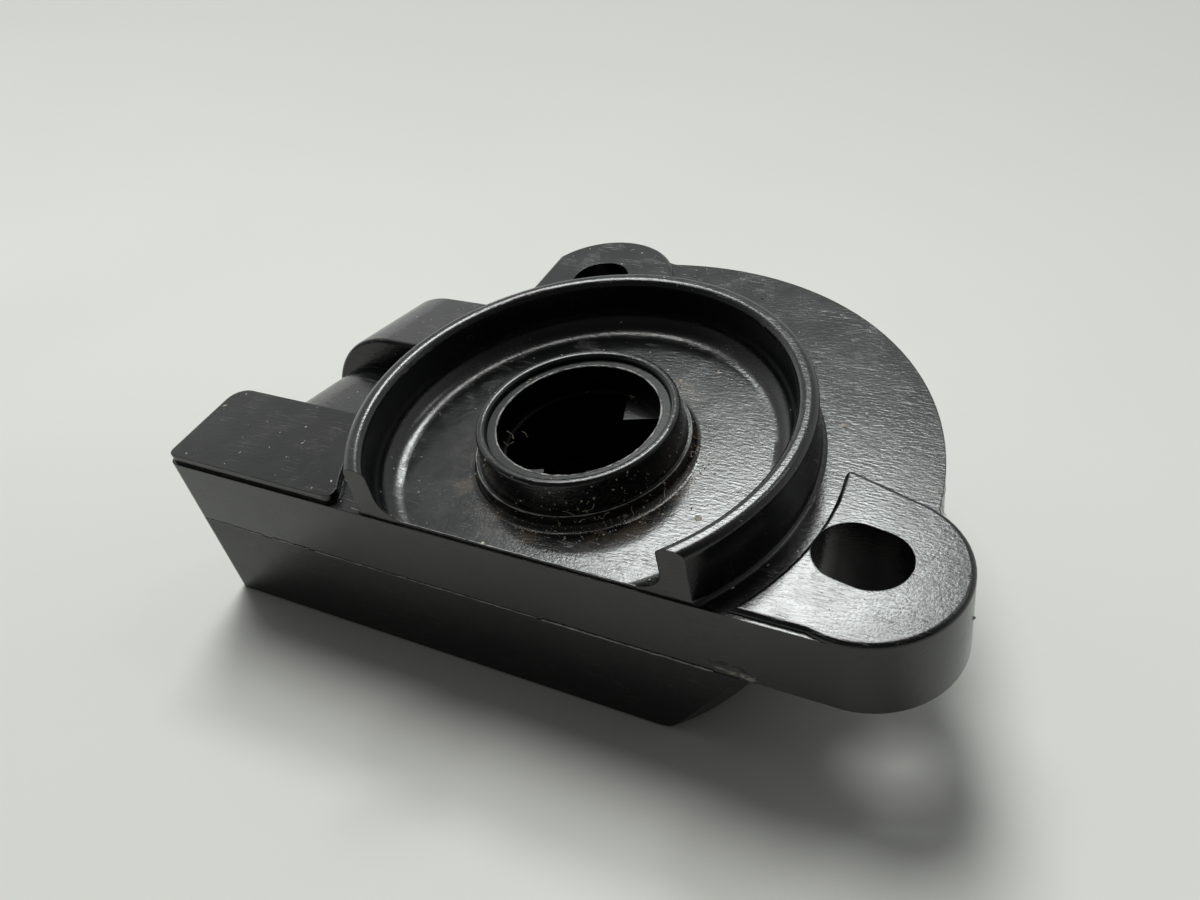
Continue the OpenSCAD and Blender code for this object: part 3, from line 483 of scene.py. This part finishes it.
def cloud_texture(name, size):
    """A noise that moves a surface up and down, with lumps of a size."""
    texture = bpy.data.textures.new(name, "CLOUDS")
    texture.noise_scale = size
    texture.noise_depth = 3
    return texture


def place_applied(piece):
    """Puts the piece's place, turn and size into its mesh."""
    select_only(piece)
    bpy.ops.object.transform_apply(location=True, rotation=True, scale=True)


def finish_piece(piece, body, material, angle=40):
    """Smooths the piece, gives it its material and ties it to its body."""
    place_applied(piece)
    bpy.ops.object.shade_smooth_by_angle(angle=math.radians(angle))
    piece.data.materials.clear()
    piece.data.materials.append(material)
    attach(piece, body)
    return piece


def join(pieces, name):
    """Joins pieces into the first one."""
    bpy.ops.object.select_all(action="DESELECT")
    for piece in pieces:
        piece.select_set(True)
    bpy.context.view_layer.objects.active = pieces[0]
    bpy.ops.object.join()
    pieces[0].name = name
    pieces[0].data.name = name
    return pieces[0]


def surface_point(origin, direction):
    """The first point of the housing that a straight look from origin meets, or None."""
    hit, point, _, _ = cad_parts["housing"].ray_cast(Vector(origin), Vector(direction).normalized())
    return point if hit else None


def edit(piece, kind="EDGE"):
    """Opens a piece in edit mode with nothing selected."""
    select_only(piece)
    bpy.ops.object.mode_set(mode="EDIT")
    bpy.ops.mesh.select_mode(type=kind)
    bpy.ops.mesh.select_all(action="DESELECT")


def select_edges(piece, chosen):
    """Selects the edges that chosen accepts, given their two ends."""
    bpy.ops.object.mode_set(mode="OBJECT")
    corners = piece.data.vertices
    for edge in piece.data.edges:
        edge.select = chosen(corners[edge.vertices[0]].co, corners[edge.vertices[1]].co)
    bpy.ops.object.mode_set(mode="EDIT")


def roughen(piece, offset, seed):
    """Moves every corner a little, at random but the same each run."""
    edit(piece, "VERT")
    bpy.ops.mesh.select_all(action="SELECT")
    bpy.ops.transform.vertex_random(offset=offset, uniform=0.0, normal=0.0, seed=seed)
    bpy.ops.object.mode_set(mode="OBJECT")


def ragged_ring(name, radius, height, thickness, seed):
    """A thin ring of flash or burr round the rotor's axis, broken and uneven."""
    ring = start(bpy.ops.mesh.primitive_torus_add, name, location=(0, 0, height), major_radius=radius,
                 minor_radius=thickness, major_segments=260, minor_segments=8)
    place_applied(ring)
    roughen(ring, 0.35 * thickness, seed)
    apply_modifier(ring, "DISPLACE", "uneven", texture=cloud_texture(name + "_noise", 0.9 * MM),
                   strength=1.3 * thickness, mid_level=0.62)
    return ring


def fibre(name, points, thickness):
    """A round fibre through the points."""
    strand = start(bpy.ops.curve.primitive_bezier_curve_add, name, location=(0, 0, 0))
    spline = strand.data.splines[0]
    spline.bezier_points.add(len(points) - 2)
    for knot, point in zip(spline.bezier_points, points):
        knot.co = point
        knot.handle_left_type = knot.handle_right_type = "AUTO"
    strand.data.resolution_u = 6
    strand.data.bevel_depth = thickness
    strand.data.bevel_resolution = 1
    strand.data.use_fill_caps = True
    select_only(strand)
    bpy.ops.object.convert(target="MESH")
    return bpy.context.active_object


def curly(chance, middle, length, curl):
    """Points of a short curled fibre round a middle point."""
    turn = chance.uniform(0, math.tau)
    lift = chance.uniform(-0.35, 0.35)
    points = []
    for step in (-0.5, -0.2, 0.15, 0.5):
        along = Vector((math.cos(turn), math.sin(turn), lift)) * step * length
        aside = Vector([chance.uniform(-curl, curl) for _ in range(3)]) * length
        points.append(Vector(middle) + along + aside)
    return points


# Operators

class SENSOR_OT_plastic(bpy.types.Operator):
    """Finish the housing, the cover and the rotor in black plastic"""
    bl_idname = "sensor.plastic"
    bl_label = "Plastic finishes"

    def execute(self, context):
        finish = context.scene.sensor_finish
        dress(["housing"], plastic_material("housing_black", finish.plastic, finish))
        # Painted shade: the cover is a darker, less shiny copy of the housing's plastic, standing in for the
        # dark shadow at its foot that its front wall reflects
        dress(["back_cover"], plastic_material("cover_black_painted_shade", [0.5 * c for c in finish.plastic], finish,
                                               gloss=0.3, shine=0.28))
        dress(["rotor"], plastic_material("rotor_black", [0.9 * c for c in finish.plastic], finish,
                                          gloss=0.3, dusty=1.5, shine=0.22))
        return {"FINISHED"}


class SENSOR_OT_inner_finishes(bpy.types.Operator):
    """Finish the metal, rubber and printed pieces inside the sensor"""
    bl_idname = "sensor.inner_finishes"
    bl_label = "Inner finishes"

    def execute(self, context):
        finish = context.scene.sensor_finish
        dress(["cover_seal", "shaft_seal"],
              dull_material("seal_rubber", (0.014, 0.014, 0.015), (0.03, 0.03, 0.031), 0.6, 300.0, 0.01 * MM))
        dress(["seal_keeper", "return_spring", "spring_leg", "thrust_spring", "wiper_plate"],
              metal_material("spring_steel", finish.steel, 0.24, 0.8))
        dress(["terminal_1", "terminal_2", "terminal_3", "contact_spring_1", "contact_spring_2",
               "contact_spring_3", "wiper_resistive", "wiper_collector"],
              metal_material("terminal_brass", finish.brass, 0.27, 0.7))
        dress(["element_board"],
              dull_material("board_laminate", finish.board, [0.8 * c for c in finish.board], 0.55, 260.0,
                            0.01 * MM))
        dress(["resistive_track", "collector_track"],
              dull_material("carbon_ink", (0.02, 0.02, 0.022), (0.035, 0.035, 0.037), 0.5, 600.0, 0.006 * MM))
        dress(["contact_pad_1", "contact_pad_2", "contact_pad_3"],
              metal_material("silver_ink", (0.62, 0.62, 0.6), 0.45, 0.2))
        return {"FINISHED"}


class SENSOR_OT_burrs(bpy.types.Operator):
    """Raise the ragged burr on the hub's mouth and the flash line round the collar"""
    bl_idname = "sensor.burrs"
    bl_label = "Burr and flash rings"

    def execute(self, context):
        sizes = context.scene.sensor_sizes
        material = flash_glint_material()
        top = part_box("rotor")[1].z
        burr = ragged_ring("hub_burr", HUB_MOUTH, top - 0.3 * sizes.burr, sizes.burr, 3)
        finish_piece(burr, "rotor", material)
        line = ragged_ring("collar_flash", COLLAR_LINE, COLLAR_LINE_Z, 0.7 * sizes.burr, 5)
        finish_piece(line, "body", material)
        return {"FINISHED"}


class SENSOR_OT_joint_flash(bpy.types.Operator):
    """Leave thin ragged flash in the joint on the front wall and along the top's front edge"""
    bl_idname = "sensor.joint_flash"
    bl_label = "Joint flash"

    # Each bead's left and right end in millimetres, its share of the usual thickness, and its seed
    JOINT = ((-35.2, -28.4, 0.7, 11), (-27.2, -22.9, 0.9, 12), (-22.2, 0.4, 0.8, 13), (0.9, 15.2, 1.2, 14))
    EDGE = ((-15.4, -4.2, 0.45, 15), (-3.9, 12.6, 0.6, 16))
    EDGE_INWARD = 0.22 * MM

    def execute(self, context):
        sizes = context.scene.sensor_sizes
        beads = [self.bead(sizes, *row) for row in self.JOINT]
        finish_piece(join(beads, "joint_flash"), "body", flash_glint_material())
        edge = [self.bead(sizes, *row, self.EDGE_INWARD) for row in self.EDGE]
        finish_piece(join(edge, "edge_flash"), "body", flash_glint_material())
        return {"FINISHED"}

    def bead(self, sizes, left, right, share, seed, inward=None):
        """One bead, in the joint or, where inward is given, on the top so far behind the wall."""
        left, right = left * MM, right * MM
        middle = (left + right) / 2
        place = (middle, FRONT_Y, JOINT_Z)
        if inward:
            place = surface_point((middle, FRONT_Y + inward, ABOVE_Z), (0, 0, -1))
        bead = start(bpy.ops.mesh.primitive_cube_add, "bead", size=1.0, location=place,
                     scale=(right - left, 2 * share * sizes.flash_proud, share * sizes.flash_height))
        place_applied(bead)
        edit(bead)
        select_edges(bead, lambda a, b: abs(a.x - b.x) > 1 * MM)
        bpy.ops.mesh.subdivide(number_cuts=int((right - left) / (0.18 * MM)))
        bpy.ops.object.mode_set(mode="OBJECT")
        roughen(bead, 0.03 * MM * share, seed)
        apply_modifier(bead, "DISPLACE", "uneven", texture=cloud_texture("bead_noise", 1.1 * MM),
                       direction="Z", strength=0.14 * MM * share, mid_level=0.5)
        return bead


class SENSOR_OT_scar(bpy.types.Operator):
    """Scuff the front wall beside the joint: a lumpy scar with dark pits and a dusty lower lip"""
    bl_idname = "sensor.scar"
    bl_label = "Scar on the wall"

    PLACE = (16.75 * MM, FRONT_Y + 0.06 * MM, -6.4 * MM)
    HALF_THICKNESS = 0.12 * MM
    LIP = (-6.3 * MM, -6.8 * MM)   # heights between which the dust on the lower lip grows

    def execute(self, context):
        sizes = context.scene.sensor_sizes
        finish = context.scene.sensor_finish
        half = (sizes.scar_length / 2, self.HALF_THICKNESS, sizes.scar_height / 2)
        scar = start(bpy.ops.mesh.primitive_ico_sphere_add, "wall_scar", subdivisions=5, radius=1.0,
                     location=self.PLACE, scale=half, rotation=(0, math.radians(6), 0))
        place_applied(scar)
        apply_modifier(scar, "DISPLACE", "lumps", texture=cloud_texture("scar_lumps", 0.55 * MM),
                       strength=0.26 * MM, mid_level=0.5)
        apply_modifier(scar, "DISPLACE", "crumbs", texture=cloud_texture("scar_crumbs", 0.16 * MM),
                       strength=0.10 * MM, mid_level=0.5)
        material, tree, shader, place = new_material("scuffed_plastic")
        height = add(tree, "ShaderNodeSeparateXYZ", None, Vector=place).outputs[2]
        film = use(tree, "film", Vector=place, Scale=1500.0)
        dusty = math_node(tree, "MULTIPLY", span(tree, height, *self.LIP), film.outputs["Cloud"])
        tone = mix_colour(tree, film.outputs["Cloud"], (0.006, 0.006, 0.006), (0.07, 0.068, 0.063))
        tone = mix_colour(tree, dusty, tone, [0.6 * c for c in finish.dust])
        tree.links.new(tone, shader.inputs["Base Color"])
        shader.inputs["Roughness"].default_value = 0.62
        grains = use(tree, "grain", Vector=place, Scale=9000.0, Streaks=0.3)
        bump = add(tree, "ShaderNodeBump", None, Height=grains.outputs[0], Strength=0.8, Distance=0.03 * MM)
        tree.links.new(bump.outputs[0], shader.inputs["Normal"])
        finish_piece(scar, "body", material)
        return {"FINISHED"}


class SENSOR_OT_dust(bpy.types.Operator):
    """Scatter grains of dust round the collar and thinly over the top"""
    bl_idname = "sensor.dust"
    bl_label = "Dust grains"

    def execute(self, context):
        sizes = context.scene.sensor_sizes
        chance = random.Random(41)
        seeds = [self.model(sizes, seed) for seed in (1, 2, 3)]
        grains = []
        for count, where in ((300, self.foot), (130, self.collar_side), (90, self.anywhere)):
            for _ in range(count):
                found = where(chance)
                if found is not None:
                    grains.append(self.copy(context, seeds[chance.randrange(3)], chance, found))
        for seed in seeds:
            bpy.data.objects.remove(seed)
        finish_piece(join(grains, "dust_grains"), "body",
                     dust_material(context.scene.sensor_finish), 60)
        return {"FINISHED"}

    def model(self, sizes, seed):
        """One grain: a small crumb with uneven faces."""
        grain = start(bpy.ops.mesh.primitive_ico_sphere_add, "grain", subdivisions=2, radius=sizes.grain / 2)
        roughen(grain, 0.22 * sizes.grain, seed)
        return grain

    def copy(self, context, seed, chance, found):
        """A copy of a grain at the place found, turned and sized by chance; most are small."""
        grain = seed.copy()
        grain.data = seed.data.copy()
        context.scene.collection.objects.link(grain)
        size = 0.26 + 0.9 * chance.random() ** 2.4
        grain.scale = (size * chance.uniform(0.8, 1.9), size, size * 0.8)
        grain.rotation_euler = [chance.uniform(0, math.tau) for _ in range(3)]
        grain.location = found
        return grain

    def foot(self, chance):
        """A place at the foot of the collar, most of them in front and at the right."""
        turn = math.radians(chance.gauss(-50, 55))
        reach = COLLAR_FOOT + abs(chance.gauss(0, 0.8)) * MM
        return surface_point((reach * math.cos(turn), reach * math.sin(turn), ABOVE_Z), (0, 0, -1))

    def collar_side(self, chance):
        """A place on the collar's outer side."""
        turn = math.radians(chance.gauss(-62, 34))
        height = chance.uniform(0.4, 3.5) * MM
        clear = 12 * MM
        return surface_point((clear * math.cos(turn), clear * math.sin(turn), height),
                             (-math.cos(turn), -math.sin(turn), 0))

    def anywhere(self, chance):
        """A place anywhere on the top."""
        low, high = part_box("housing")
        place = (chance.uniform(low.x, high.x), chance.uniform(low.y, high.y), ABOVE_Z)
        return surface_point(place, (0, 0, -1))


class SENSOR_OT_lint(bpy.types.Operator):
    """Lay lint fibres on the collar and in the hub, and leave hairs of flash on the rim"""
    bl_idname = "sensor.lint"
    bl_label = "Lint and flash hairs"

    AGAINST_SIDE = 8.62 * MM   # radius at which a fibre touches the collar's side
    AT_FOOT = 9.0 * MM         # and at which it lies at the collar's foot
    # Fibres round the collar: direction in degrees, height and length in millimetres
    OUTSIDE = ((-68, 1.4, 1.1), (-63, 0.9, 1.4), (-58, 1.7, 0.9), (-74, 0.7, 0.8), (-52, 1.0, 1.0),
               (-40, 0.6, 1.3), (-20, 0.5, 1.0), (8, 0.7, 1.2), (22, 0.4, 0.9))
    # Fibres in the hub: middle point and length in millimetres
    INSIDE = ((-4.9, -2.6, 2.4, 1.1), (-4.2, -3.9, 2.9, 0.9), (-4.6, -1.2, 1.4, 0.7),
              (-0.4, -6.3, 2.9, 0.9), (0.9, -6.3, 2.5, 0.7), (3.6, -5.2, 3.2, 0.9))
    # Hairs on the rim: direction in degrees, reach out of the rim and height in millimetres
    RIM_HAIRS = (((9.2, 0.0, -0.3), (8.0, 0.09, -0.45), (6.9, 0.02, -0.5)),
                 ((7.4, 0.0, -0.3), (6.2, 0.12, -0.5), (5.0, 0.03, -0.4)),
                 ((5.4, 0.0, -0.6), (4.4, 0.14, -0.7), (3.6, 0.45, -0.9)),
                 ((4.9, 0.0, -0.4), (4.0, 0.2, -0.2), (3.5, 0.3, 0.1)))
    # The thicker hair on the front ear's side, in millimetres
    EAR_HAIR = ((30.9, -4.6, -3.5), (31.2, -4.5, -3.6), (31.36, -4.2, -3.66))

    def execute(self, context):
        sizes = context.scene.sensor_sizes
        dust = dust_material(context.scene.sensor_finish)
        chance = random.Random(17)
        outside = [fibre("fibre", curly(chance, self.by_collar(turn, height), length * MM, 0.22), sizes.lint)
                   for turn, height, length in self.OUTSIDE]
        finish_piece(join(outside, "lint_outside"), "body", dust)
        inside = [fibre("fibre", curly(chance, Vector(middle) * MM, length * MM, 0.16), 0.7 * sizes.lint)
                  for *middle, length in self.INSIDE]
        finish_piece(join(inside, "lint_inside"), "rotor", dust)
        hairs = [fibre("hair", [self.on_rim(*point) for point in strand], 0.022 * MM)
                 for strand in self.RIM_HAIRS]
        hairs.append(fibre("hair", [Vector(point) * MM for point in self.EAR_HAIR], 0.09 * MM))
        finish_piece(join(hairs, "rim_hairs"), "body", flash_glint_material())
        return {"FINISHED"}

    def by_collar(self, degrees, height):
        """A point against the collar's side, or at its foot where it is below the mould line."""
        turn = math.radians(degrees)
        reach = self.AGAINST_SIDE if height * MM > COLLAR_LINE_Z else self.AT_FOOT
        return Vector((reach * math.cos(turn), reach * math.sin(turn), height * MM))

    def on_rim(self, degrees, out, height):
        """A point on the fan's round rim."""
        turn = math.radians(degrees)
        reach = RIM + out * MM
        return Vector((reach * math.cos(turn), reach * math.sin(turn), height * MM))


class SENSOR_OT_stage(bpy.types.Operator):
    """Set the table, the soft light and the camera"""
    bl_idname = "sensor.stage"
    bl_label = "Table, light and camera"

    def execute(self, context):
        stage = context.scene.sensor_stage
        self.table(stage)
        self.light(context, stage)
        self.camera(context, stage)
        return {"FINISHED"}

    def table(self, stage):
        """A pale table with faint clouds and pores, with painted shade darkening it towards the back."""
        table = start(bpy.ops.mesh.primitive_plane_add, "table", size=4.0, location=(0, 0, TABLE_Z))
        material, tree, shader, place = new_material("table_white")
        broad = add(tree, "ShaderNodeTexNoise", None, Vector=place, Scale=14.0, Detail=2.0).outputs[0]
        pores = add(tree, "ShaderNodeTexNoise", None, Vector=place, Scale=520.0, Detail=3.0).outputs[0]
        tone = mix_colour(tree, span(tree, broad, 0.35, 0.65), [0.97 * c for c in stage.table], stage.table)
        # Painted shade: the table darkens towards the back, standing in for light that falls off there
        depth = add(tree, "ShaderNodeSeparateXYZ", None, Vector=place).outputs[1]
        tone = mix_colour(tree, span(tree, depth, 0.0, 0.16), tone, [0.75 * c for c in stage.table])
        tree.links.new(tone, shader.inputs["Base Color"])
        shader.inputs["Roughness"].default_value = 0.55
        shader.inputs["Specular IOR Level"].default_value = 0.3
        bump = add(tree, "ShaderNodeBump", None, Height=pores, Strength=0.25, Distance=0.05 * MM)
        tree.links.new(bump.outputs[0], shader.inputs["Normal"])
        table.data.materials.append(material)

    def lamp(self, context, name, power, direction, width, height, colour):
        """An oval light a metre from the sensor, which faces it from a direction."""
        data = bpy.data.lights.new(name, "AREA")
        data.shape = "ELLIPSE"
        data.size = width
        data.size_y = height
        data.energy = power
        data.color = colour
        lamp = bpy.data.objects.new(name, data)
        towards = Vector(direction).normalized()
        lamp.location = towards
        lamp.rotation_euler = towards.to_track_quat("Z", "Y").to_euler()
        context.scene.collection.objects.link(lamp)

    def light(self, context, stage):
        """Three soft lamps, and a room that is brighter behind the sensor and at its left."""
        self.lamp(context, "panel", stage.panel, (-0.24, 0.35, 0.905), 0.50, 0.38, (1.0, 1.0, 0.975))
        self.lamp(context, "key", stage.key, (-0.28, 0.585, 0.76), 0.38, 0.13, (0.95, 1.0, 0.985))
        self.lamp(context, "second", stage.second, (0.36, 0.52, 0.775), 0.16, 0.16, (1.0, 1.0, 1.0))
        world = bpy.data.worlds.new("room")
        world.use_nodes = True
        tree = world.node_tree
        tree.nodes.clear()
        look = tree.nodes.new("ShaderNodeTexCoord").outputs["Generated"]
        parts = add(tree, "ShaderNodeSeparateXYZ", None, Vector=look)
        # Dark in front of the sensor, a little darker overhead, and bright at the far left
        back = span(tree, parts.outputs[1], -0.35, 0.75, 0.16, 1.0)
        low = span(tree, parts.outputs[2], 0.0, 0.9, 1.0, 0.62)
        left = span(tree, parts.outputs[0], -0.55, -0.9, 1.0, 2.2)
        strength = math_node(tree, "MULTIPLY", math_node(tree, "MULTIPLY", back, low),
                             math_node(tree, "MULTIPLY", left, stage.room))
        path = tree.nodes.new("ShaderNodeLightPath")
        seen = add(tree, "ShaderNodeMix", None, i0=path.outputs["Is Camera Ray"], i2=strength,
                   i3=0.60).outputs[0]
        shader = add(tree, "ShaderNodeBackground", None, Color=(0.985, 1.0, 0.985, 1.0), Strength=seen)
        output = tree.nodes.new("ShaderNodeOutputWorld")
        tree.links.new(shader.outputs[0], output.inputs[0])
        context.scene.world = world

    def camera(self, context, stage):
        """The camera at the photograph's viewing angle."""
        data = bpy.data.cameras.new("camera")
        data.sensor_width = 36.0
        data.lens = stage.lens
        data.clip_start = 0.001
        camera = bpy.data.objects.new("camera", data)
        right, up = (0.8752, 0.4516, -0.1734), (-0.1863, 0.6455, 0.7407)
        back, place = (0.4464, -0.6160, 0.6491), (39.37 * MM, -52.44 * MM, 55.48 * MM)
        camera.matrix_world = Matrix((*zip(right, up, back, place), (0, 0, 0, 1)))
        context.scene.collection.objects.link(camera)
        context.scene.camera = camera
        context.scene.view_settings.view_transform = "Standard"


class SENSOR_PT_panel(bpy.types.Panel):
    """Lists the sensor's operators and settings"""
    bl_idname = "SENSOR_PT_panel"
    bl_label = "Throttle Position Sensor"
    bl_space_type = "VIEW_3D"
    bl_region_type = "UI"
    bl_category = "Sensor"

    def draw(self, context):
        for operator in STEPS:
            self.layout.operator(operator.bl_idname)
        for settings in (context.scene.sensor_sizes, context.scene.sensor_finish, context.scene.sensor_stage):
            box = self.layout.box()
            for key in settings.__annotations__:
                box.prop(settings, key)


SETTINGS = {"sensor_sizes": SensorSizes, "sensor_finish": SensorFinish, "sensor_stage": SensorStage}
STEPS = (SENSOR_OT_plastic, SENSOR_OT_inner_finishes, SENSOR_OT_burrs, SENSOR_OT_joint_flash, SENSOR_OT_scar,
         SENSOR_OT_dust, SENSOR_OT_lint, SENSOR_OT_stage)


def register():
    for cls in (*SETTINGS.values(), *STEPS, SENSOR_PT_panel):
        bpy.utils.register_class(cls)
    for key, cls in SETTINGS.items():
        setattr(bpy.types.Scene, key, bpy.props.PointerProperty(type=cls))


def unregister():
    for key in SETTINGS:
        delattr(bpy.types.Scene, key)
    for cls in reversed((*SETTINGS.values(), *STEPS, SENSOR_PT_panel)):
        bpy.utils.unregister_class(cls)


def main():
    """Makes every piece and the stage."""
    register()
    bpy.ops.sensor.plastic()
    bpy.ops.sensor.inner_finishes()
    bpy.ops.sensor.burrs()
    bpy.ops.sensor.joint_flash()
    bpy.ops.sensor.scar()
    bpy.ops.sensor.dust()
    bpy.ops.sensor.lint()
    bpy.ops.sensor.stage()


if __name__ == "__main__":
    main()
